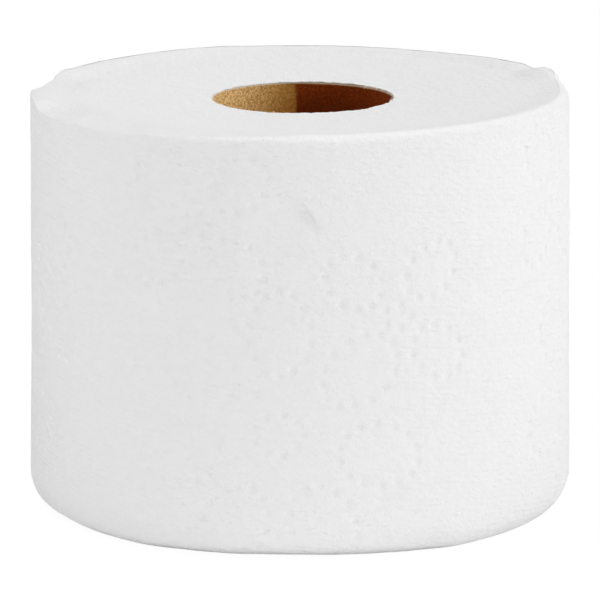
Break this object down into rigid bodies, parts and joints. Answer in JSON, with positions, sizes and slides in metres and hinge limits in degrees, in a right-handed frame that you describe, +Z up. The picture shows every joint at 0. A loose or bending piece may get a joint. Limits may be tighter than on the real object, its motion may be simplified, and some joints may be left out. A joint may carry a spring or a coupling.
{
  "type": "toilet paper roll",
  "caption": "Toilet paper roll standing on end: a web of soft embossed white tissue wound on an open cardboard core.",
  "frame": {"origin": "the core's axis at the foot of the roll, on the surface that it stands on", "axes": "+Z up along the core, -Y towards the side that is seen from the front, +X to its right"},
  "size_m": [0.127, 0.1267, 0.099],
  "materials": {
    "tissue": "soft matt, creped and embossed",
    "core_board": "matt brown kraft board"
  },
  "bodies": {
    "root": {"tissue_roll": "tissue", "cardboard_core": "core_board"}
  },
  "joints": []
}
